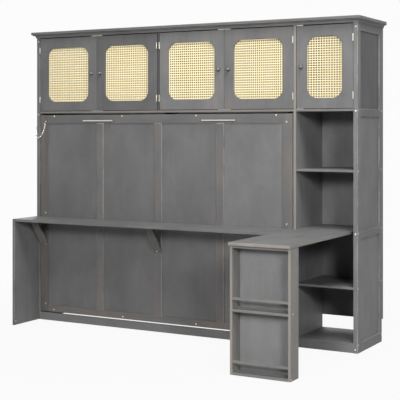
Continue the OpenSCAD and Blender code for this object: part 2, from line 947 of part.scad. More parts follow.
// Route of the chain from the middle of its first link to the middle of its last one: down from the
// staple on the bed, round the front edge of the side and up to the hook on its outer face.
chain_low = staple_at[2] - 103;
chain_route = [staple_at - [0, 0, link_rise], staple_at - [0, 0, 28], staple_at - [6, 0, 50],
    staple_at - [19, 1, 76], staple_at - [36, 2, 96], [25, -11, chain_low], [12, -11, chain_low],
    [-1, -10, chain_low + 9], [-7, -6, chain_low + 23], [-8, 2, chain_low + 37],
    hook_at - [0, 0, 24], hook_at - [0, 0, link_rise]];

// Length of the route up to its point i
function route_upto(i) = i == 0 ? 0 : route_upto(i - 1) + norm(chain_route[i] - chain_route[i - 1]);

// Point of the route at distance s, which may lie a little past either end
function route_at(s, i = 1) = i == len(chain_route) - 1 || s <= route_upto(i)
    ? chain_route[i - 1] + (chain_route[i] - chain_route[i - 1])
        * (s - route_upto(i - 1)) / (route_upto(i) - route_upto(i - 1))
    : route_at(s, i + 1);

function unit(v) = v / norm(v);

route_l = route_upto(len(chain_route) - 1);
// an even number of steps, so that both end links stand square to their bars
chain_steps = 2 * ceil(route_l / (chain_link_l - 4 * chain_wire_r - chain_play) / 2);
chain_step = route_l / chain_steps;

// Closed link of six-sided wire round the point middle. Its long way is along, and broad is the way it
// is wide.
module chain_link(middle, along, broad) {
    sides = 6;
    ends = [0, 60, 120, 180, 180, 240, 300, 360];
    bend = chain_link_w / 2 - chain_wire_r;
    flat = cross(along, broad);
    points = [for (k = [0 : 7], j = [0 : sides - 1])
        let (out = bend + chain_wire_r * cos(j * 360 / sides))
        middle + broad * out * cos(ends[k]) + flat * chain_wire_r * sin(j * 360 / sides)
            + along * (out * sin(ends[k]) + (k < 4 ? link_rise : -link_rise))];
    faces = [for (k = [0 : 7], j = [0 : sides - 1])
        let (n = (k + 1) % 8, m = (j + 1) % sides)
        each [[k * sides + j, k * sides + m, n * sides + m], [k * sides + j, n * sides + m, n * sides + j]]];
    polyhedron(points, faces);
}

// Links stand square to each other by turns
module safety_chain() {
    color(steel)
        for (i = [0 : chain_steps]) {
            a = route_at((i - 0.5) * chain_step);
            b = route_at((i + 0.5) * chain_step);
            along = unit(b - a);
            across = unit([0, 1, 0] - along * along[1]);
            chain_link((a + b) / 2, along, i % 2 == 0 ? across : cross(across, along));
        }
}

// Wire staple in the bed's stile: the chain swings on its bar
module chain_staple() {
    color(steel)
        translate(staple_at) {
            translate([-staple_w / 2, 0, 0])
                rotate([0, 90, 0])
                    cylinder(r = bar_r, h = staple_w);
            for (x = [-staple_w / 2, staple_w / 2])
                translate([x, 0, 0]) {
                    sphere(r = bar_r);
                    rotate([-90, 0, 0])
                        cylinder(r = bar_r, h = -staple_at[1]);
                }
        }
}

// Hook on the outer face of the left side, with its rose. Its tip points up.
module chain_hook() {
    rose_r = 5;
    tip_h = 9;
    color(steel)
        translate([0, hook_at[1], hook_at[2]]) {
            rotate([0, -90, 0])
                cylinder(r = bar_r, h = hook_out);
            rotate([0, -90, 0])
                cylinder(r = rose_r, h = bar_r);
            translate([-hook_out, 0, 0]) {
                sphere(r = bar_r);
                cylinder(r = bar_r, h = tip_h);
            }
        }
}

at_origin() left_side_frame();
at_origin() right_side_frame();
at_origin() side_panels();
at_origin() pivot_board();
at_origin() hutch_divider();
at_origin() tower_wall();
at_origin() hutch_floor();
at_origin() carcass_top();
at_origin() cove_moulding();
at_origin() cap_board();
at_origin() back_frame();
at_origin() back_panels();
at_origin() tower_shelves();
at_origin() plinth_boards();
at_origin() wing_desk_top();
at_origin() leg_sides();
at_origin() leg_shelves();
at_origin() leg_back();
at_origin() leg_bars();
at_origin() end_panel();
at_origin() pivot_plates();
at_origin() bed_stops();
at_origin() catch_plates();
at_origin() door_hinge_posts();
at_origin() chain_hook();
at_origin() bed_stiles();
at_origin() bed_rails();
at_origin() bed_mullions();
at_origin() bed_panels();
at_origin() bed_box_boards();
at_origin() bed_battens();
at_origin() bed_slats();
at_origin() bed_pulls();
at_origin() desk_braces();
at_origin() pivot_bushes();
at_origin() desk_hinge_fixed();
at_origin() chain_staple();
at_origin() long_desk_top();
at_origin() desk_hinge_moving();
at_origin() door_frame(0);  // door_1_frame
at_origin() door_cane(0);  // door_1_cane
at_origin() door_knob(0);  // door_1_knob
at_origin() door_hinges(0);  // door_1_hinges
at_origin() door_frame(1);  // door_2_frame
at_origin() door_cane(1);  // door_2_cane
at_origin() door_knob(1);  // door_2_knob
at_origin() door_hinges(1);  // door_2_hinges
at_origin() door_frame(2);  // door_3_frame
at_origin() door_cane(2);  // door_3_cane
at_origin() door_knob(2);  // door_3_knob
at_origin() door_hinges(2);  // door_3_hinges
at_origin() door_frame(3);  // door_4_frame
at_origin() door_cane(3);  // door_4_cane
at_origin() door_knob(3);  // door_4_knob
at_origin() door_hinges(3);  // door_4_hinges
at_origin() door_frame(4);  // door_5_frame
at_origin() door_cane(4);  // door_5_cane
at_origin() door_knob(4);  // door_5_knob
at_origin() door_hinges(4);  // door_5_hinges
at_origin() safety_chain();
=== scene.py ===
# %% [markdown]
# # A wall bed with folding desk
# The imported model gives every board at its right place and size. This script gives those boards eased
# edges and a weathered grey stain, turns the knobs, weaves the cane of the cupboard doors, and adds the
# screws and the smooth links of a chain.

# %% Load the imported model
import json
import math
import random

import bmesh
import bpy
import numpy
from mathutils import Matrix, Vector


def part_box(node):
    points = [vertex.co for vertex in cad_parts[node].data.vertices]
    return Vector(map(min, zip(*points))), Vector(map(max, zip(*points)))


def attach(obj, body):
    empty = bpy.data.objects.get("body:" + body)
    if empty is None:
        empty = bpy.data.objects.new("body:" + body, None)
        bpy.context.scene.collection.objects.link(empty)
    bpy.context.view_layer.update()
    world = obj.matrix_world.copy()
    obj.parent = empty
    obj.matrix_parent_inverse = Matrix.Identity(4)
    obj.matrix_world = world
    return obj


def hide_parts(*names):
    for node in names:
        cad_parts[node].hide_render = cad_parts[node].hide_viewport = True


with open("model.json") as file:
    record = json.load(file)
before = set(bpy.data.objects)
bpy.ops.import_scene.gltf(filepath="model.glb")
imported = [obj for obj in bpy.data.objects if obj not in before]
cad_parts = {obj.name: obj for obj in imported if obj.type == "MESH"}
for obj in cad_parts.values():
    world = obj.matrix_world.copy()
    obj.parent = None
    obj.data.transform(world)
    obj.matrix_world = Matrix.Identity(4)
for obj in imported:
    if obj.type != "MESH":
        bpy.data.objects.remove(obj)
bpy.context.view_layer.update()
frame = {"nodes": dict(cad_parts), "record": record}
BODIES = frame["record"]["behaviour"]["bodies"]
BODY_OF = {node: body for body, nodes in BODIES.items() for node in nodes}

# %% [markdown]
# ## The camera
# The photograph was taken from the right front with a long lens, and its uprights stay upright. A level
# camera with its frame shifted down gives exactly that, where a tilted one would make them converge.
# Place, lens and shift come from a camera fitted to the cabinet's straight edges. The place is given from
# the cabinet's own corner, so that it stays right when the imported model's middle moves.

# %% Camera
CORNER_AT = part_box("left_side_frame")[0]
VIEW_TURN, LENS_MM, SENSOR_MM, SHIFT_DOWN = math.radians(29.13), 95.53, 36, 0.1808


def place(x, y, z):
    """A point given in millimetres from the cabinet's lower left front corner."""
    return CORNER_AT + Vector((x, y, z)) / 1000


def to_mm(point):
    """The opposite: how many millimetres a point is from that corner."""
    return (point - CORNER_AT) * 1000


camera_data = bpy.data.cameras.new("camera")
camera_data.lens = LENS_MM
camera_data.sensor_width = SENSOR_MM
camera_data.shift_y = -SHIFT_DOWN
camera = bpy.data.objects.new("camera", camera_data)
camera.location = place(4774, -6142, 1384)
camera.rotation_euler = (math.pi / 2, 0, VIEW_TURN)
bpy.context.scene.collection.objects.link(camera)
bpy.context.scene.camera = camera
print("camera at", tuple(camera.location))

# %% [markdown]
# ## Helpers for materials
# Every finish here is made of nodes. One short function adds a node, and takes either a plain value or
# another node's output for each input, so that a material reads from top to bottom like a recipe. The
# others each stand for one step of such a recipe: reckon with numbers, stretch a range, draw a noise that
# is longer one way than the other, or lay one colour over another.

# %% Node helpers
def add(tree, kind, inputs=(), **settings):
    """A new node. Each of its inputs gets a plain value or another node's output."""
    made = tree.nodes.new(kind)
    for key, value in settings.items():
        setattr(made, key, value)
    for key, value in dict(inputs).items():
        if isinstance(value, bpy.types.NodeSocket):
            tree.links.new(value, made.inputs[key])
        else:
            made.inputs[key].default_value = value
    return made


def sums(tree, how, *numbers):
    """One step of arithmetic."""
    return add(tree, "ShaderNodeMath", dict(enumerate(numbers)), operation=how).outputs[0]


def vector_sums(tree, how, inputs):
    """The same for directions and places."""
    return add(tree, "ShaderNodeVectorMath", inputs, operation=how).outputs


def spread(tree, value, low, high, to_low=0.0, to_high=1.0):
    """Stretches the range low to high over the new one, and holds the value inside it."""
    inputs = {"Value": value, "From Min": low, "From Max": high, "To Min": to_low, "To Max": to_high}
    return add(tree, "ShaderNodeMapRange", inputs, clamp=True).outputs[0]


def noise(tree, where, scale, stretch=(1, 1, 1), detail=3.0, rough=0.55):
    """Noise from 0 to 1, with about scale times stretch repeats in a metre along each axis."""
    bent = add(tree, "ShaderNodeMapping", {"Vector": where, "Scale": stretch})
    inputs = {"Vector": bent.outputs[0], "Scale": scale, "Detail": detail, "Roughness": rough}
    return add(tree, "ShaderNodeTexNoise", inputs).outputs["Fac"]


def blend_colour(tree, amount, under, over, how="MIX"):
    """Two colours mixed. The node keeps them in its inputs 6 and 7, and their mix in its output 2."""
    inputs = {0: amount, 6: under, 7: over}
    return add(tree, "ShaderNodeMix", inputs, data_type="RGBA", blend_type=how).outputs[2]


def rgb(*levels):
    """A colour as seen on screen, 0 to 255, turned into the light that Blender reckons with."""
    shares = [level / 255 for level in levels]
    return tuple(v / 12.92 if v <= 10 / 255 else ((v + 0.055) / 1.055) ** 2.4 for v in shares) + (1,)


print("a stain grey of 94 is", [round(v, 3) for v in rgb(94, 94, 94)], "as light")

# %% New materials
def new_material(name):
    material = bpy.data.materials.new(name)
    material.use_nodes = True
    tree = material.node_tree
    tree.nodes.clear()
    shader = add(tree, "ShaderNodeBsdfPrincipled")
    add(tree, "ShaderNodeOutputMaterial", {"Surface": shader.outputs[0]})
    return material, tree, shader


def own_grain(tree):
    """What each mesh carries: its places across and along the grain, and the lightness of its board."""
    where = add(tree, "ShaderNodeAttribute", attribute_name="grain").outputs["Vector"]
    board = add(tree, "ShaderNodeAttribute", attribute_name="board").outputs["Fac"]
    return where, board


def finish_shader(tree, shader, colour, roughness, relief, strength, depth):
    """Gives the shader its colour, its roughness and a relief of the given depth in metres."""
    bump = add(tree, "ShaderNodeBump", {"Height": relief, "Strength": strength, "Distance": depth})
    for socket, value in (("Base Color", colour), ("Roughness", roughness), ("Normal", bump.outputs[0])):
        tree.links.new(value, shader.inputs[socket])


print("attributes read by the materials: grain and board")

# %% [markdown]
# ## Where the stain is rubbed off, and painted highlights on edges
# On the real boards the grey is rubbed through to tan and pale wood along the edges, and the sawn front
# edges of the shelves took little stain at all. Edges could be painted by hand, but the Bevel node finds
# them by itself: where its rounded normal leaves the true one, there is an edge. The part of the rounded
# normal that leans off the face tells which way the edge looks. The ones that look to the right, to the
# room or up are the light ones in the photograph, and they get the pale colour as a painted highlight.

# %% Rubbed edges and painted highlights
# bare wood on worn edges, and the colour of the painted highlight on the lit ones
BARE_WOOD_AND_HIGHLIGHT = (138, 132, 124)


def lit_and_worn_arris(tree, radius):
    """1 as a painted highlight along the edges that look right, to the room or up, and a little along all
    others as wear.
    """
    facing = add(tree, "ShaderNodeNewGeometry").outputs["Normal"]
    rounded = add(tree, "ShaderNodeBevel", {"Radius": radius}, samples=6).outputs[0]
    both = vector_sums(tree, "DOT_PRODUCT", {0: facing, 1: rounded})["Value"]
    along_face = vector_sums(tree, "SCALE", {0: facing, "Scale": both})[0]
    aside = vector_sums(tree, "SUBTRACT", {0: rounded, 1: along_face})[0]
    own = add(tree, "ShaderNodeVectorTransform", {0: aside}, vector_type="VECTOR",
              convert_from="WORLD", convert_to="OBJECT").outputs[0]
    to_light = vector_sums(tree, "DOT_PRODUCT", {0: own, 1: (1, -1, 1)})["Value"]
    lit = spread(tree, to_light, 0.08, 0.4)
    return sums(tree, "MAXIMUM", lit, spread(tree, both, 0.985, 0.86, 0, 0.35))


def facing_part(tree, axis):
    """How far a face looks along one axis of its own piece, -1 to 1."""
    own_normal = add(tree, "ShaderNodeTexCoord").outputs["Normal"]
    return add(tree, "ShaderNodeSeparateXYZ", {0: own_normal}).outputs[axis]


def front_edge(tree, strips):
    """1 on the faces that look to the room, inside strips given by their x limits in millimetres."""
    own_place = add(tree, "ShaderNodeTexCoord").outputs["Object"]
    x = add(tree, "ShaderNodeSeparateXYZ", {0: own_place}).outputs[0]
    inside = 0.0
    for low, high in strips:
        middle, half = place((low + high) / 2, 0, 0).x, (high - low) / 2000
        off = sums(tree, "ABSOLUTE", sums(tree, "SUBTRACT", x, middle))
        inside = sums(tree, "MAXIMUM", inside, spread(tree, off, half + 0.001, half - 0.001))
    return sums(tree, "MULTIPLY", spread(tree, facing_part(tree, 1), -0.6, -0.9), inside)


def rubbed_and_painted_light(tree, patch, wear_and_highlight, arris, front, strips, right):
    """How pale the wood gets: worn edges in patches with a painted highlight on lit ones, bare front faces
    in strips, and painted light on right faces.
    """
    worn_through = spread(tree, patch, 0.66 - 0.34 * wear_and_highlight, 0.78 - 0.3 * wear_and_highlight)
    rubbed_and_lit = sums(tree, "MULTIPLY", lit_and_worn_arris(tree, arris), worn_through)
    rubbed_and_lit = sums(tree, "MULTIPLY", rubbed_and_lit, min(1.0, 0.35 + wear_and_highlight * 0.65))
    if strips:
        bare = sums(tree, "MULTIPLY", front_edge(tree, strips), spread(tree, patch, 0.25, 0.6, 0.5, 1.0))
        rubbed_and_lit = sums(tree, "MAXIMUM", rubbed_and_lit, sums(tree, "MULTIPLY", bare, front))
    # faces that look right get painted light in the pale colour
    if right:
        rubbed_and_lit = sums(tree, "MAXIMUM", rubbed_and_lit, spread(tree, facing_part(tree, 0), 0.6, 0.9, 0, right))
    return rubbed_and_lit


print("bare wood along the rubbed edges", BARE_WOOD_AND_HIGHLIGHT)

# %% [markdown]
# ## Weathered grey stain
# The boards are pine with a thin grey stain: streaks of the grain show through, and large faint clouds
# come from how the stain soaked in. The grain has to run along each board, so the noises here are read at
# the board's own "grain" places and drawn out along them: short clouds, then ever finer bands, lines and
# pores. Each one makes the board a little lighter or darker, and the broad ones let the warm wood through.

# %% Stained wood
TAN, PINK = (1.03, 0.97, 0.92), (1.04, 0.965, 0.925)
OLIVE, ROSE = (0.99, 0.965, 0.90), (1.09, 0.95, 0.86)


def stain_colour(tree, shade, under, warm, streak, board, cloud, band, line, pore):
    """The stain's grey, made lighter and darker by the grain, with the tint of the wood coming through."""
    light = 1.0
    for part, strength in ((cloud, 0.8), (band, 0.4 * streak), (line, 0.4 * streak), (pore, 0.16)):
        light = sums(tree, "MULTIPLY_ADD", sums(tree, "SUBTRACT", part, 0.5), strength, light)
    # the board's tone, which on a few boards is painted light and shade
    light = sums(tree, "MULTIPLY", light, board)
    light_colour = add(tree, "ShaderNodeCombineColor", {0: light, 1: light, 2: light}).outputs[0]
    through = sums(tree, "MULTIPLY_ADD", band, 0.45, sums(tree, "MULTIPLY", cloud, 0.55))
    through = spread(tree, through, 0.55 - 0.2 * warm, 0.75 - 0.2 * warm)
    through = sums(tree, "MULTIPLY", through, min(1, 1.4 * warm))
    grey, tinted = rgb(shade, shade, shade), rgb(*(shade * part for part in under))
    return blend_colour(tree, 1.0, blend_colour(tree, through, grey, tinted), light_colour, "MULTIPLY")


def stained_wood(name, shade, under, warm, wear_and_highlight, streak, bare_and_highlight_colour=BARE_WOOD_AND_HIGHLIGHT,
                 arris=0.0045, front=0.0, strips=(), right=0.0):
    material, tree, shader = new_material(name)
    where, board = own_grain(tree)
    # each noise: scale, stretch across, across and along the grain, detail and roughness
    cloud = noise(tree, where, 5.5, (1, 1, 0.6), 5.0, 0.62)
    band = noise(tree, where, 1.0, (26, 26, 0.7), 4.0, 0.6)
    line = noise(tree, where, 1.0, (150, 150, 2.2), 4.0, 0.7)
    pore = noise(tree, where, 1.0, (900, 900, 22), 2.0, 0.5)
    patch = noise(tree, where, 11.0, (1, 1, 0.5), 5.0, 0.65)
    stain = stain_colour(tree, shade, under, warm, streak, board, cloud, band, line, pore)
    rubbed_and_lit = rubbed_and_painted_light(tree, patch, wear_and_highlight, arris, front, strips, right)
    relief = sums(tree, "MULTIPLY_ADD", line, 0.7, sums(tree, "MULTIPLY", pore, 0.3))
    shader.inputs["Specular IOR Level"].default_value = 0.32
    # the pale colour is bare wood where rubbed, and a painted highlight on the lit edges and faces
    finish_shader(tree, shader, blend_colour(tree, rubbed_and_lit, stain, rgb(*bare_and_highlight_colour)),
                  spread(tree, line, 0.3, 0.75, 0.5, 0.64), relief, 0.35, 0.0006)
    return material


print("tints of the wood under the stain", TAN, PINK, OLIVE, ROSE)

# %% [markdown]
# ## One stain for each kind of board
# In the photograph no two kinds of board took the stain alike: the panels are even and cool, the frames
# streaky and warm, and the bookcase leg nearly brown. One recipe with a few numbers for each kind of board
# gives all of them, where a material of its own for each would soon drift apart from the others.

# %% The woods
# each stain: its grey from 0 to 255, the tint of the wood under it, how much of that shows, how far the
# edges are rubbed and carry a painted highlight, and how strong the grain is
STAINS = {
    "door": (94, PINK, 0.15, 0.5, 0.7), "warm_door": (95, ROSE, 0.3, 0.7, 0.8),
    "panel": (94, TAN, 0.0, 0.1, 0.35), "mullion": (95, PINK, 0.6, 0.9, 1.0),
    "rail": (94, PINK, 0.3, 0.6, 0.8), "stile": (94, (1.02, 0.965, 0.91), 0.8, 0.5, 1.3),
    "foot": (101, (1.05, 0.96, 0.89), 0.9, 0.6, 0.9), "plinth": (93, TAN, 0.15, 0.5, 0.9),
    # "dark" stains the hutch divider; its low grey is painted shade on its front between the doors
    "brace": (88, (1.03, 0.975, 0.91), 0.7, 0.7, 1.2), "dark": (70, TAN, 0.2, 0.2, 0.8),
    "crown": (91, (1.08, 0.96, 0.88), 0.3, 0.6, 0.7), "side": (95, TAN, 0.1, 0.7, 1.0),
    "floor": (94, PINK, 0.3, 0.7, 0.8), "wall": (97, PINK, 0.3, 0.8, 1.2),
    "leg": (102, OLIVE, 0.8, 0.8, 1.3), "wing": (97, PINK, 0.2, 0.7, 0.8),
    "bar": (99, OLIVE, 0.4, 0.8, 0.9), "shelf": (98, OLIVE, 0.3, 0.8, 0.9),
    "desk": (97, TAN, 0.1, 0.6, 0.6),
}
# where a wood differs from the usual: its pale colour, of bare wood and of painted highlight, the width of
# its rubbed and lit edges in metres, how bare its front faces are between which x limits in millimetres,
# and how much painted light the faces that look right get
WHOLE = ((-100, 2600),)
BARER = {
    # the pale colours of mullion and side are mostly painted highlight along their right and front edges
    "mullion": dict(bare_and_highlight_colour=(160, 152, 145), arris=0.009),
    "crown": dict(bare_and_highlight_colour=(158, 146, 134)),
    "side": dict(bare_and_highlight_colour=(158, 154, 149), arris=0.008),
    "floor": dict(bare_and_highlight_colour=(134, 127, 118), front=0.45, strips=WHOLE),
    "wall": dict(bare_and_highlight_colour=(129, 123, 114), front=0.95, strips=((2031, 2050),)),
    "leg": dict(bare_and_highlight_colour=(139, 131, 121), front=0.75, strips=((2020, 2035.5), (2381, 2392.5))),
    # right=0.3 gives the wing's right-facing faces painted light
    "wing": dict(bare_and_highlight_colour=(139, 134, 126), front=0.8, strips=WHOLE, right=0.3),
    "bar": dict(bare_and_highlight_colour=(124, 121, 115), front=0.4, strips=WHOLE),
    "shelf": dict(bare_and_highlight_colour=(124, 121, 115), front=0.2, strips=WHOLE),
}
wood = {kind: stained_wood("stained_" + kind, *look, **BARER.get(kind, {}))
        for kind, look in STAINS.items()}
print("stained woods", len(wood))

# %% [markdown]
# ## Bare pine
# The bed box, battens and slats never show while the bed is up, and such pieces are left as plain sawn
# pine. Noise drawn out along the board gives its light and dark growth bands and its fine dark lines, and
# a rounder noise gives a few knots. Wave rings would be more regular than real boards are.

# %% Bare pine
def bare_pine(name):
    material, tree, shader = new_material(name)
    where, board = own_grain(tree)
    band = noise(tree, where, 1.0, (38, 38, 0.9), 3.0, 0.6)
    line = noise(tree, where, 1.0, (260, 260, 4), 4.0, 0.7)
    knot = noise(tree, where, 7.0, (1, 1, 0.7), 2.0, 0.4)
    colour = blend_colour(tree, spread(tree, band, 0.35, 0.65), rgb(214, 184, 138), rgb(190, 150, 102))
    colour = blend_colour(tree, spread(tree, line, 0.45, 0.75, 0, 0.5), colour, rgb(168, 126, 82))
    colour = blend_colour(tree, spread(tree, knot, 0.7, 0.78, 0, 0.7), colour, rgb(120, 80, 48))
    colour = blend_colour(tree, spread(tree, board, 0.94, 1.06, 0, 0.25), colour, rgb(226, 200, 160))
    finish_shader(tree, shader, colour, spread(tree, line, 0.3, 0.7, 0.55, 0.72), line, 0.4, 0.0006)
    return material


wood["pine"] = bare_pine("bare_pine")
print("made", wood["pine"].name)

# %% [markdown]
# ## Nickel and zinc
# Pulls, catch plates and screws are bright satin nickel. The door hinges look a little yellower, the chain
# shinier, the knobs dark and dull, and the hidden pivot plates are zinc-plated steel. All are one recipe:
# a very fine noise in the roughness gives the satin look, and a broad one gives fingermarks and dullness.

# %% Metals
def satin_metal(name, colour, low, high, mottle=0.0):
    """low and high are the roughness of the shiniest and the dullest places."""
    material, tree, shader = new_material(name)
    where = add(tree, "ShaderNodeTexCoord").outputs["Object"]
    fine = noise(tree, where, 900.0, (1, 1, 0.2), 2.0)
    broad = noise(tree, where, 45.0, (1, 1, 1), 3.0)
    dull = tuple(v * 0.72 for v in colour[:3]) + (1,)
    base = blend_colour(tree, spread(tree, broad, 0.4, 0.7, 0, 0.3 + mottle), colour, dull)
    blend = sums(tree, "MULTIPLY_ADD", broad, 0.5, sums(tree, "MULTIPLY", fine, 0.5))
    shader.inputs["Metallic"].default_value = 1.0
    finish_shader(tree, shader, base, spread(tree, blend, 0.3, 0.7, low, high), fine, 0.12, 0.0002)
    return material


nickel = satin_metal("satin_nickel", rgb(168, 164, 156), 0.34, 0.48)
bright_nickel = satin_metal("bright_nickel", rgb(212, 210, 204), 0.36, 0.50)
brassy_nickel = satin_metal("brassy_nickel", rgb(188, 180, 168), 0.36, 0.52, 0.3)
chain_nickel = satin_metal("chain_nickel", rgb(222, 220, 216), 0.16, 0.3, 0.4)
dark_nickel = satin_metal("dark_nickel", rgb(108, 107, 105), 0.46, 0.60)
zinc = satin_metal("zinc_plate", rgb(176, 180, 184), 0.34, 0.52, 0.5)
print("metals", [m.name for m in (nickel, bright_nickel, brassy_nickel, chain_nickel, dark_nickel, zinc)])

# %% [markdown]
# ## Grain and tone for each board
# A node of the imported model can hold several loose boards, and on a real piece each was cut from another
# plank. One grain for the whole node would run through its joints. So each loose board gets grain places
# of its own, turned so that the grain runs along its length and moved by a random amount, and no two look
# alike. Boards that the photograph shows plainly lighter or darker than the rest get that tone, and the
# others a random one. Some of those tones are painted light and shade: the last bed panel and the leg's
# back are lighter as painted light, the right side panels go from painted light at the bottom to painted
# shade at the top, and the back panel inside the cupboard is darker as painted shade.

# %% Loose boards
# tones of a node's boards, one each, in order from the left and then from the front and from below
# of side_panels; painted shade: the first of back_panels, inside the cupboard
# painted light: the last of bed_panels and leg_back; painted light to shade from below: the last three
TONES_AND_PAINTED_LIGHT = {
    "bed_panels": (1.02, 1.0, 1.03, 1.18), "bed_stiles": (0.86, 1.08), "bed_mullions": (1.11, 1.04, 1.04),
    "side_panels": (1, 1, 1, 1.17, 1.0, 0.52), "right_side_frame": (1.18, 1.0, 1.0, 0.85, 0.97, 0.97),
    "door_1_frame": (1.05,), "door_2_frame": (0.86,), "door_3_frame": (1.22,), "door_4_frame": (1.05,),
    "door_5_frame": (1.06,), "leg_back": (1.57,), "leg_sides": (1.4, 1.25), "back_panels": (0.4, 1.18),
    "tower_wall": (1.42,), "wing_desk_top": (1.1,), "long_desk_top": (0.99,), "end_panel": (1.08,),
    "cove_moulding": (1.13,), "cap_board": (1.13,), "carcass_top": (1.1,), "plinth_boards": (1.25, 1.2),
    "desk_braces": (1.35, 1.0, 1.0),
}


def loose_parts(bm):
    """The points of a mesh, as one list for each loose part, in order of their leftmost point."""
    # a dict keeps its order, where a set could give the points of a part in another order each run
    left, found = dict.fromkeys(bm.verts), []
    while left:
        part, queue = [], [left.popitem()[0]]
        while queue:
            point = queue.pop()
            part.append(point)
            for edge in point.link_edges:
                other = edge.other_vert(point)
                if other in left:
                    del left[other]
                    queue.append(other)
        found.append(part)
    return sorted(found, key=lambda part: tuple(round(c, 4) for c in min(tuple(v.co) for v in part)))


def give_grain(bm, name, along=None):
    """Writes the grain places and the tone, which on a few boards is painted light and shade. along is the
    axis of the grain where it isn't the longest.
    """
    grain = bm.verts.layers.float_vector.new("grain")
    board = bm.verts.layers.float.new("board")
    chance = random.Random(name)
    for number, part in enumerate(loose_parts(bm)):
        low = [min(v.co[axis] for v in part) for axis in range(3)]
        high = [max(v.co[axis] for v in part) for axis in range(3)]
        longest = max(range(3), key=lambda axis: high[axis] - low[axis]) if along is None else along
        others = [axis for axis in range(3) if axis != longest]
        shift = Vector(chance.uniform(0, 40) for _ in range(3))
        tone = TONES_AND_PAINTED_LIGHT[name][number] if name in TONES_AND_PAINTED_LIGHT else chance.uniform(0.96, 1.04)
        for v in part:
            v[grain] = Vector((v.co[others[0]], v.co[others[1]], v.co[longest])) + shift
            v[board] = tone


print("nodes with tones of their own", len(TONES_AND_PAINTED_LIGHT))

# %% [markdown]
# ## Boards with eased edges
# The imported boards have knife-sharp edges, and real ones are sanded round by a millimetre or so, which
# catches a thin line of light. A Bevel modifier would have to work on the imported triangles, whose long
# diagonals end in the corners and spoil the rounding there. So each board is copied, its triangles are
# joined back into flat faces, and only the real edges are beveled. Weighted normals then keep the faces
# flat and let only the rounded strips shade softly.

# %% Easing
SAME_PLACE, SAME_FACE, REAL_EDGE, KEPT_SHARP = 1e-5, 0.01, 0.6, 0.9  # metres, and three angles in radians


def finish_mesh(bm, name, material, body, replaces=()):
    mesh = bpy.data.meshes.new(name)
    bm.to_mesh(mesh)
    bm.free()
    piece = bpy.data.objects.new(name, mesh)
    bpy.context.scene.collection.objects.link(piece)
    mesh.materials.append(material)
    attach(piece, body)
    if replaces:
        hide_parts(*replaces)
    return piece


def eased(node, material, ease=0.0013, along=None):
    bm = bmesh.new()
    bm.from_mesh(frame["nodes"][node].data)
    bmesh.ops.remove_doubles(bm, verts=bm.verts, dist=SAME_PLACE)
    bmesh.ops.dissolve_limit(bm, angle_limit=SAME_FACE, verts=bm.verts, edges=bm.edges)
    real = [e for e in bm.edges if len(e.link_faces) == 2 and e.calc_face_angle() > REAL_EDGE]
    bmesh.ops.bevel(bm, geom=real, offset=ease, segments=2, profile=0.5, affect="EDGES",
                    clamp_overlap=True)
    for face in bm.faces:
        face.smooth = True
    give_grain(bm, node, along)
    piece = finish_mesh(bm, node + "_eased", material, BODY_OF[node], [node])
    piece.data.set_sharp_from_angle(angle=KEPT_SHARP)
    weighted = piece.modifiers.new("weighted", "WEIGHTED_NORMAL")
    weighted.keep_sharp = True
    return piece


print("edges bent by more than", round(math.degrees(REAL_EDGE)), "degrees will be eased")

# %% [markdown]
# ## The boards
# Now every wooden node is dressed. Frames and boxes have their grain along each board's length. Panels are
# cut so that it runs up, even where they are wider than high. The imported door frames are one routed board
# each, so their grain runs up as well, and their edges are rounder. The third and the fourth door took a
# browner stain than the others.

# %% The boards
BOARDS = {
    "left_side_frame": "side", "right_side_frame": "side", "side_panels": "side", "pivot_board": "panel",
    # the hutch divider's dark stain is painted shade
    "hutch_divider": "dark", "tower_wall": "wall", "hutch_floor": "floor", "carcass_top": "crown",
    "cove_moulding": "crown", "cap_board": "crown", "back_frame": "panel", "back_panels": "panel",
    "tower_shelves": "shelf", "plinth_boards": "plinth", "end_panel": "side", "wing_desk_top": "wing",
    "leg_sides": "leg", "leg_shelves": "bar", "leg_back": "panel", "leg_bars": "bar",
    "bed_stops": "panel", "bed_stiles": "stile", "bed_rails": "rail", "bed_mullions": "mullion",
    "bed_panels": "panel", "desk_braces": "brace", "long_desk_top": "desk", "bed_box_boards": "pine",
    "bed_battens": "pine", "bed_slats": "pine",
}
GRAIN_UP = ("leg_back", "side_panels", "back_panels", "bed_panels", "end_panel")
DOORS = range(1, 6)
BROWNER_DOORS, ROUNDER = (3, 4), 0.0018
for node, kind in BOARDS.items():
    eased(node, wood[kind], along=2 if node in GRAIN_UP else None)
for i in DOORS:
    eased(f"door_{i}_frame", wood["warm_door" if i in BROWNER_DOORS else "door"], ease=ROUNDER, along=2)
print("boards dressed", len(BOARDS) + len(DOORS))

# %% [markdown]
# ## A browner lower rail
# The bed's lower rail is browner than its upper one, and both are in one node. A mesh can hold several
# materials, and each face says which one it takes, so the lower rail's faces take the second.

# %% The lower rail
rails = bpy.data.objects["bed_rails_eased"].data
rails.materials.append(wood["foot"])
between_rails = place(0, 0, 700).z
for face in rails.polygons:
    face.material_index = 1 if face.center.z < between_rails else 0
print("faces on the lower rail", sum(face.material_index for face in rails.polygons))

# %% [markdown]
# ## Metal nodes
# Pulls, plates, hinges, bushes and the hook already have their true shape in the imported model, so they
# stay and only get their metal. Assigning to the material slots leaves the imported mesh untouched.

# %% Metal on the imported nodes
METAL = {"bed_pulls": bright_nickel, "catch_plates": bright_nickel, "chain_hook": chain_nickel,
         "chain_staple": chain_nickel, "door_hinge_posts": brassy_nickel, "desk_hinge_fixed": nickel,
         "desk_hinge_moving": nickel, "pivot_plates": zinc, "pivot_bushes": zinc}
METAL.update({f"door_{i}_hinges": brassy_nickel for i in DOORS})
for node, metal in METAL.items():
    frame["nodes"][node].data.materials.clear()
    frame["nodes"][node].data.materials.append(metal)
print("metal nodes", len(METAL))

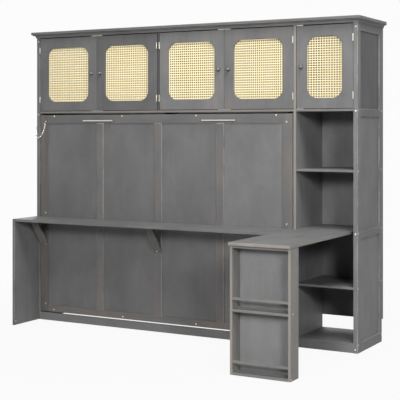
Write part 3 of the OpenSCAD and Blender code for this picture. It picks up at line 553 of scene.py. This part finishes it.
# %% [markdown]
# ## Door knobs
# Each knob is a small turned ball on a neck. A turned piece is easiest as a profile spun round its axis:
# here the profile is a short list of radius and distance pairs for foot and neck, and an arc for the ball.

# %% Knobs
def lathe(bm, profile, centre, turned, sides=32):
    """Spins (radius, distance) pairs round an axis that starts at centre and points along turned @ Z."""
    rings = []
    for r, along in profile:
        angles = [2 * math.pi * k / sides for k in range(sides if r else 1)]
        spun = [Vector((r * math.cos(t), r * math.sin(t), along)) for t in angles]
        rings.append([bm.verts.new(centre + turned @ point) for point in spun])
    for a, b in zip(rings, rings[1:]):
        for k in range(sides):
            quad = [a[k % len(a)], a[(k + 1) % len(a)], b[(k + 1) % len(b)], b[k % len(b)]]
            face = bm.faces.new(list(dict.fromkeys(quad)))
            face.smooth = True


def arc(radius, height, start, base=0.0, step=11):
    """(radius, distance) pairs along an upright ellipse, from start degrees up to just under its top."""
    angles = [math.radians(t) for t in range(start, 90, step)]
    return [(radius * math.cos(t), base + height * math.sin(t)) for t in angles]


TO_ROOM = Matrix.Rotation(math.pi / 2, 3, "X")
FLATTENED = 0.85
for i in DOORS:
    low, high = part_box(f"door_{i}_knob")
    r, length = (high.x - low.x) / 2, high.y - low.y
    centre = Vector(((low.x + high.x) / 2, high.y, (low.z + high.z) / 2))
    foot = [(0, 0), (0.62 * r, 0), (0.64 * r, 0.001), (0.58 * r, 0.0022), (0.42 * r, 0.0035)]
    neck = [(0.38 * r, 0.006), (0.42 * r, length - 2 * FLATTENED * r)]
    ball = arc(r, FLATTENED * r, -58, length - FLATTENED * r)
    bm = bmesh.new()
    lathe(bm, foot + neck + ball + [(0, length)], centre, TO_ROOM)
    bmesh.ops.recalc_face_normals(bm, faces=bm.faces)
    finish_mesh(bm, f"door_{i}_ball_knob", dark_nickel, f"door_{i}", [f"door_{i}_knob"])
print("knobs", len(DOORS), "radius", round(r, 4))

# %% [markdown]
# ## Cane skin
# Cane webbing is made of rattan skin: pale, a little glossy, and streaked with fine fibres. Each strip has
# a shade of its own between two creams, because no two stems are alike. The fibres are a noise drawn out
# along the skein, and a broader one adds faint amber stains. A picture of cane would blur from close by.

# %% Cane colour
def cane_skin(name):
    material, tree, shader = new_material(name)
    where, strip = own_grain(tree)
    fibre = noise(tree, where, 1.0, (1500, 1500, 30), 3.0, 0.6)
    stain = noise(tree, where, 1.0, (30, 30, 8), 3.0, 0.6)
    colour = blend_colour(tree, strip, rgb(255, 244, 206), rgb(252, 234, 186))
    colour = blend_colour(tree, spread(tree, fibre, 0.5, 0.8, 0, 0.35), colour, rgb(224, 192, 130))
    colour = blend_colour(tree, spread(tree, stain, 0.55, 0.8, 0, 0.3), colour, rgb(232, 204, 144))
    finish_shader(tree, shader, colour, spread(tree, fibre, 0.3, 0.7, 0.36, 0.55), fibre, 0.25, 0.0002)
    return material


cane = cane_skin("cane_skin")
print("made", cane.name)

# %% [markdown]
# ## A skein of cane
# The windows hold webbing of flat skeins woven over and under each other, with small square holes.
# Painting the weave would look flat, so every skein is a thin crowned ribbon that really passes over one
# crossing and under the next. A strip of the weave is a pair of skeins side by side. A strip ends where
# the rebate's rounded outline ends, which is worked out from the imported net's own box.

# %% Skeins
SKEIN_T, SKEIN_GAP, LIFT, CORNER_R, END_GAP = 0.0005, 0.0003, 0.00065, 0.0737, 0.002
SECTION = ((-0.5, 0), (-0.3, SKEIN_T), (0.3, SKEIN_T), (0.5, 0), (0, -SKEIN_T * 0.4))


def half_reach(across, half_across, half_along):
    """How far a strip at distance across from the middle may reach before the rounded outline ends it."""
    past = abs(across) - (half_across - CORNER_R)
    if past <= 0:
        return half_along
    return half_along - CORNER_R + math.sqrt(max(0.0, CORNER_R ** 2 - past ** 2))


def skein(bm, layers, centre, upright, lane_at, width, stops, over, tone, shift):
    """One thin crowned ribbon through the stops along it. It rises and sinks as over(stop) says."""
    grain, board = layers
    rings = []
    for along in stops:
        rings.append([])
        for side, rise in SECTION:
            across = lane_at + side * width
            x, z = (across, along) if upright else (along, across)
            v = bm.verts.new((centre.x + x, centre.y - LIFT * over(along) - rise, centre.z + z))
            v[grain] = (side * width + shift, rise, along)
            v[board] = tone
            rings[-1].append(v)
    for a, b in zip(rings, rings[1:]):
        for k in range(5):
            bm.faces.new((a[k], a[(k + 1) % 5], b[(k + 1) % 5], b[k])).smooth = True
    bm.faces.new(rings[0])
    bm.faces.new(list(reversed(rings[-1])))


print("skeins are", SKEIN_T * 1000, "mm thick and lift", LIFT * 1000, "mm at each crossing")

# %% [markdown]
# ## The woven windows
# The webbing of each door was cut from the roll at another place and stretched a little differently, so
# every window has its own distance between strips, its own shift of the pattern and its own width of
# skein. They were set until the fine pattern in the picture fell as in the photograph. One function
# weaves a window from those six numbers: first the upright strips, then the level ones, each going over
# where the other goes under.

# %% Weaving
# per door, across and up: how far apart the strips are in mm, by what part of that the weave is
# shifted, and how wide the skeins of the upright and of the level strips are, as a share of it
CANE = {
    1: (14.96, 16.67, -0.25, -0.22, 0.245, 0.215), 2: (15.15, 15.68, -0.09, -0.14, 0.24, 0.205),
    3: (15.38, 16.0, -0.25, -0.36, 0.19, 0.22), 4: (14.9, 15.67, -0.05, 0.05, 0.205, 0.175),
    5: (17.34, 14.94, 0.17, 0.31, 0.15, 0.175),
}


def weave(bm, chance, low, high, across_mm, up_mm, across_shift, up_shift, upright_share, level_share):
    layers = bm.verts.layers.float_vector.new("grain"), bm.verts.layers.float.new("board")
    centre, half = (low + high) / 2, (high - low) / 2
    # for each way over the window: distance between strips, shift of the weave, half the window
    across, up = (across_mm / 1000, across_shift, half.x), (up_mm / 1000, up_shift, half.z)
    for upright, share, own, other in ((True, upright_share, across, up), (False, level_share, up, across)):
        (step, moved, half_across), (cross, cross_moved, half_along) = own, other
        width = share * step
        # a skein has a point at every crossing and one half way to the next
        halves = range(-2 * round(half_along / cross) - 2, 2 * round(half_along / cross) + 3)
        bends = [(k / 2 + cross_moved) * cross for k in halves]
        for s in range(-round(half_across / step) - 1, round(half_across / step) + 2):
            tone, sign = chance.random(), 1 if (s + upright) % 2 else -1
            for lane in (-1, 1):
                lane_at = (s + moved) * step + lane * (width + SKEIN_GAP) / 2
                reach = half_reach(abs(lane_at) + width / 2, half_across, half_along)
                if abs(lane_at) + width / 2 < half_across and reach > step:
                    inner = [bend for bend in bends if abs(bend) < reach - END_GAP]
                    skein(bm, layers, centre, upright, lane_at, width, [-reach] + inner + [reach],
                          lambda along: sign * math.cos(math.pi * (along / cross - cross_moved)),
                          tone, chance.uniform(0, 50))


for i in DOORS:
    bm = bmesh.new()
    weave(bm, random.Random(i), *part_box(f"door_{i}_cane"), *CANE[i])
    bmesh.ops.recalc_face_normals(bm, faces=bm.faces)
    print("cane faces in door", i, len(bm.faces))
    finish_mesh(bm, f"door_{i}_webbing", cane, f"door_{i}", [f"door_{i}_cane"])

# %% [markdown]
# ## A screw
# Bright dome-headed screws hold the knock-down boards together, and they are the small bright dots of the
# photograph. Each head is a low turned dome. Its cross is two thin bars of painted shade sunk into the
# dome, standing for the shade in a true recess; that is far lighter on the mesh than cutting the recess and
# looks the same on a head of 10 mm.

# %% Screw heads
HEAD_R, HEAD_H, RIM = 0.0052, 0.0016, 0.0002
ARM_REACH, ARM_HALF, ARM_DEEP, ARM_PROUD = 0.0028, 0.0005, 0.0004, 0.00008
BAR_FACES = ((0, 1, 5, 4), (1, 2, 6, 5), (2, 3, 7, 6), (3, 0, 4, 7), (4, 5, 6, 7), (3, 2, 1, 0))


def screw(bm, at, turned):
    profile = [(0, -RIM), (HEAD_R, -RIM), (HEAD_R, RIM)] + arc(HEAD_R, HEAD_H, 8, step=20)
    lathe(bm, profile + [(0, HEAD_H)], at, turned, 16)
    for quarter in (0, 1):
        arm = Matrix.Rotation(quarter * math.pi / 2, 3, "Z")
        corners = [Vector((x * ARM_REACH, y * ARM_HALF, height))
                   for height in (HEAD_H - ARM_DEEP, HEAD_H + ARM_PROUD)
                   for x, y in ((-1, -1), (1, -1), (1, 1), (-1, 1))]
        points = [bm.verts.new(at + turned @ (arm @ corner)) for corner in corners]
        # the bars take the second material, painted shade for the cross recess
        for bar_face in BAR_FACES:
            bm.faces.new([points[k] for k in bar_face]).material_index = 1


# dark metal as painted shade inside the screws' cross recess
cross_painted_shade = satin_metal("cross_recess_painted_shade", rgb(70, 70, 72), 0.5, 0.7)
print("screw heads", HEAD_R * 2000, "mm across")

# %% [markdown]
# ## Where the screws are
# Their places were read off the photograph, and those it hides follow the visible ones. All are given in
# millimetres from the cabinet's corner, with the way that the head looks. Heads under the folded desk have
# less than 2 mm of room, so none is taller. The screws of one body are one piece, which rides with it.

# %% Screws
TO_LEFT, TO_RIGHT = (Matrix.Rotation(turn * math.pi / 2, 3, "Y") for turn in (-1, 1))
DOWN_OUT = Matrix.Rotation(math.radians(125.7), 3, "X")  # square to the braces' lower faces
BODY_W = to_mm(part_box("right_side_frame")[1]).x
LEG_LEFT, LEG_FRONT = to_mm(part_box("leg_sides")[0]).xy
LEG_RIGHT = to_mm(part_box("leg_sides")[1]).x
END_LEFT, END_RIGHT = (to_mm(corner).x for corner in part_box("end_panel"))
# x, y and z of the face under each head, and the way that the head looks
SCREWS = {
    "cabinet": [(14, 0, z, TO_ROOM) for z in (1479, 2005)]
    + [(x, 0, z, TO_ROOM) for x, z in ((2442, 2005), (2442, 1486), (2440, 730), (2438, 22))]
    + [(BODY_W, y, z, TO_RIGHT) for y in (10, 424) for z in (1492, 1115, 735, 397, 50)]
    + [(0, y, z, TO_LEFT) for y in (12, 424) for z in (1492, 735, 50)]
    + [(END_RIGHT, -262, 28, TO_RIGHT), (END_LEFT, -262, 28, TO_LEFT)]
    + [(LEG_RIGHT, LEG_FRONT + y, z, TO_RIGHT) for y, z in ((31, 365), (10, 9))]
    + [(LEG_LEFT, LEG_FRONT + y, 363, TO_LEFT) for y in (16, 74)],
    "bed": [(x, 0, 1464, TO_ROOM) for x in (155, 734, 1320, 1905)]
    + [(x, 0, 79, TO_ROOM) for x in (150, 740, 1320, 1905)]
    + [(77, 0, z, TO_ROOM) for z in (1428, 771, 118)]
    + [(1978, 0, z, TO_ROOM) for z in (1421, 771, 118)]
    + [(x, -8, 545, DOWN_OUT) for x in (82, 1020, 1978)],
}
for body, heads in SCREWS.items():
    bm = bmesh.new()
    for x, y, z, turned in heads:
        screw(bm, place(x, y, z), turned)
    bmesh.ops.recalc_face_normals(bm, faces=bm.faces)
    piece = finish_mesh(bm, body + "_screws", bright_nickel, body)
    piece.data.materials.append(cross_painted_shade)
print("screws", sum(len(heads) for heads in SCREWS.values()))

# %% [markdown]
# ## Safety chain
# A light chain hangs from the bed's stile and is hooked on the cabinet's side, so that the bed can't drop
# by itself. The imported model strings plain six-sided links. Smooth ones that were strung anew could miss
# those by a hair, so each packed link is measured by the spread of its own points, whose three main
# directions are its flat, wide and long way, and a round-wire link is put in exactly its place.

# %% Chain links
def link_shape(points):
    """Middle of a link, and its flat, wide and long directions with its reach in each."""
    middle = sum(points, Vector()) / len(points)
    offsets = [point - middle for point in points]
    spreads = [[sum(off[a] * off[b] for off in offsets) for b in range(3)] for a in range(3)]
    _, vectors = numpy.linalg.eigh(numpy.array(spreads))
    ways = [Vector(vectors[:, k]) for k in range(3)]
    # a direction and its opposite fit equally well, so the one whose largest part is positive is taken
    ways = [way if max(way, key=abs) > 0 else -way for way in ways]
    return middle, ways, [2 * max(abs(off.dot(way)) for off in offsets) for way in ways]


def smooth_link(bm, middle, ways, reach, turns=28, sides=10):
    flat_way, wide_way, long_way = ways
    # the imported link's wire has six sides, so its flat reach is a little under its thickness
    wire, width, length = reach[0] / (2 * math.sin(math.pi / 3)), reach[1], reach[2]
    bend, rise = width / 2 - wire, (length - width) / 2
    round_wire = [2 * math.pi * j / sides for j in range(sides)]
    rings = []
    for k in range(turns):
        t = 2 * math.pi * k / turns
        out = wide_way * math.cos(t) + long_way * math.sin(t)
        core = middle + out * bend + long_way * (rise if math.sin(t) >= 0 else -rise)
        rings.append([bm.verts.new(core + out * (wire * math.cos(a)) + flat_way * (wire * math.sin(a)))
                      for a in round_wire])
    for k in range(turns):
        for j in range(sides):
            a, b = rings[k], rings[(k + 1) % turns]
            bm.faces.new((a[j], a[(j + 1) % sides], b[(j + 1) % sides], b[j])).smooth = True


SAME_POINT = 1e-6  # metres
packed = bmesh.new()
packed.from_mesh(frame["nodes"]["safety_chain"].data)
bmesh.ops.remove_doubles(packed, verts=packed.verts, dist=SAME_POINT)
packed_links = [[v.co.copy() for v in part] for part in loose_parts(packed)]
packed.free()
bm = bmesh.new()
for points in packed_links:
    smooth_link(bm, *link_shape(points))
bmesh.ops.recalc_face_normals(bm, faces=bm.faces)
finish_mesh(bm, "chain_links", chain_nickel, "safety_chain", ["safety_chain"])
print("chain links", len(packed_links))

# %% [markdown]
# ## Floor and backdrop
# The photograph is cut out on white. A white floor would throw light back at the furniture and wash its
# shadows out, so the floor is a plain mid grey sheet that only looks white: rays that come straight from
# the camera, or off shiny metal, mostly meet white in it. A small part of its true shading stays near the
# furniture, so the soft shadow remains. The world is nearly dark and looks white in the same way.

# %% Floor and world
WHITE, FLOOR_GREY = rgb(252, 252, 252), (0.4, 0.4, 0.4, 1)


def direct_rays(tree):
    """1 for rays that come straight from the camera, off a shiny face or through glass."""
    rays = add(tree, "ShaderNodeLightPath").outputs
    seen = sums(tree, "MAXIMUM", rays["Is Camera Ray"], rays["Is Glossy Ray"])
    return sums(tree, "MAXIMUM", seen, rays["Is Transmission Ray"])


def paper(name, near, far):
    """White to direct rays. A little of the true shading stays in it, less and less from near to far."""
    material, tree, shader = new_material(name)
    shader.inputs["Base Color"].default_value = FLOOR_GREY
    shader.inputs["Roughness"].default_value = 0.9
    own_place = add(tree, "ShaderNodeTexCoord").outputs["Object"]
    away = vector_sums(tree, "LENGTH", {0: own_place})["Value"]
    share = sums(tree, "MULTIPLY", direct_rays(tree), spread(tree, away, near, far, 0.96, 1.0))
    white = add(tree, "ShaderNodeEmission", {"Color": WHITE, "Strength": 1.0})
    mixed = add(tree, "ShaderNodeMixShader", {0: share, 1: shader.outputs[0], 2: white.outputs[0]})
    tree.links.new(mixed.outputs[0], tree.nodes["Material Output"].inputs["Surface"])
    return material


bpy.ops.mesh.primitive_plane_add(size=60, location=(0, 0, 0))
floor = bpy.context.object
floor.name = "floor"
floor.data.materials.append(paper("pale_floor", 1.2, 3.5))

world = bpy.data.worlds.new("studio")
bpy.context.scene.world = world
world.use_nodes = True
tree = world.node_tree
tree.nodes.clear()
even = add(tree, "ShaderNodeBackground", {"Color": (1, 1, 1, 1), "Strength": 0.005})
white = add(tree, "ShaderNodeBackground", {"Color": WHITE, "Strength": 1.0})
mixed = add(tree, "ShaderNodeMixShader", {0: direct_rays(tree), 1: even.outputs[0], 2: white.outputs[0]})
add(tree, "ShaderNodeOutputWorld", {"Surface": mixed.outputs[0]})
print("stage", floor.name, "and", world.name)

# %% [markdown]
# ## Lamps
# The shadows in the photograph are soft and fall to several sides, so it was lit by more than one large
# lamp. Two discs stand low to the left and right of the camera, and two larger ones hang high in front and
# at the right, which lights the tops and leaves the room under the desk dim. A fifth lamp behind does
# nothing for this view, but without it the back would be black from there. An even white world would be
# simpler, but it lights every corner alike and takes the shape away.

# %% Lamps
BED_MIDDLE, CABINET_MIDDLE, BACK_MIDDLE = (0.4, -0.3, 0.9), (0.0, 0.0, 0.9), (0.0, 0.2, 0.9)


def lamp(name, at, aim, size, power):
    data = bpy.data.lights.new(name, "AREA")
    data.shape = "DISK"
    data.size = size
    data.energy = power
    made = bpy.data.objects.new(name, data)
    made.location = at
    made.rotation_euler = (Vector(aim) - Vector(at)).to_track_quat("-Z", "Y").to_euler()
    bpy.context.scene.collection.objects.link(made)


lamp("low_left_lamp", (1.54, -6.74, 2.77), BED_MIDDLE, 1.2, 240)
lamp("low_right_lamp", (5.02, -4.92, 2.77), BED_MIDDLE, 1.2, 216)
lamp("high_front_lamp", (1.97, -2.82, 5.82), CABINET_MIDDLE, 2.5, 132)
lamp("high_right_lamp", (3.12, -1.45, 5.82), CABINET_MIDDLE, 2.5, 252)
lamp("back_lamp", (-3.2, 5.2, 3.0), BACK_MIDDLE, 2.5, 200)
bpy.context.scene.view_settings.view_transform = "Standard"
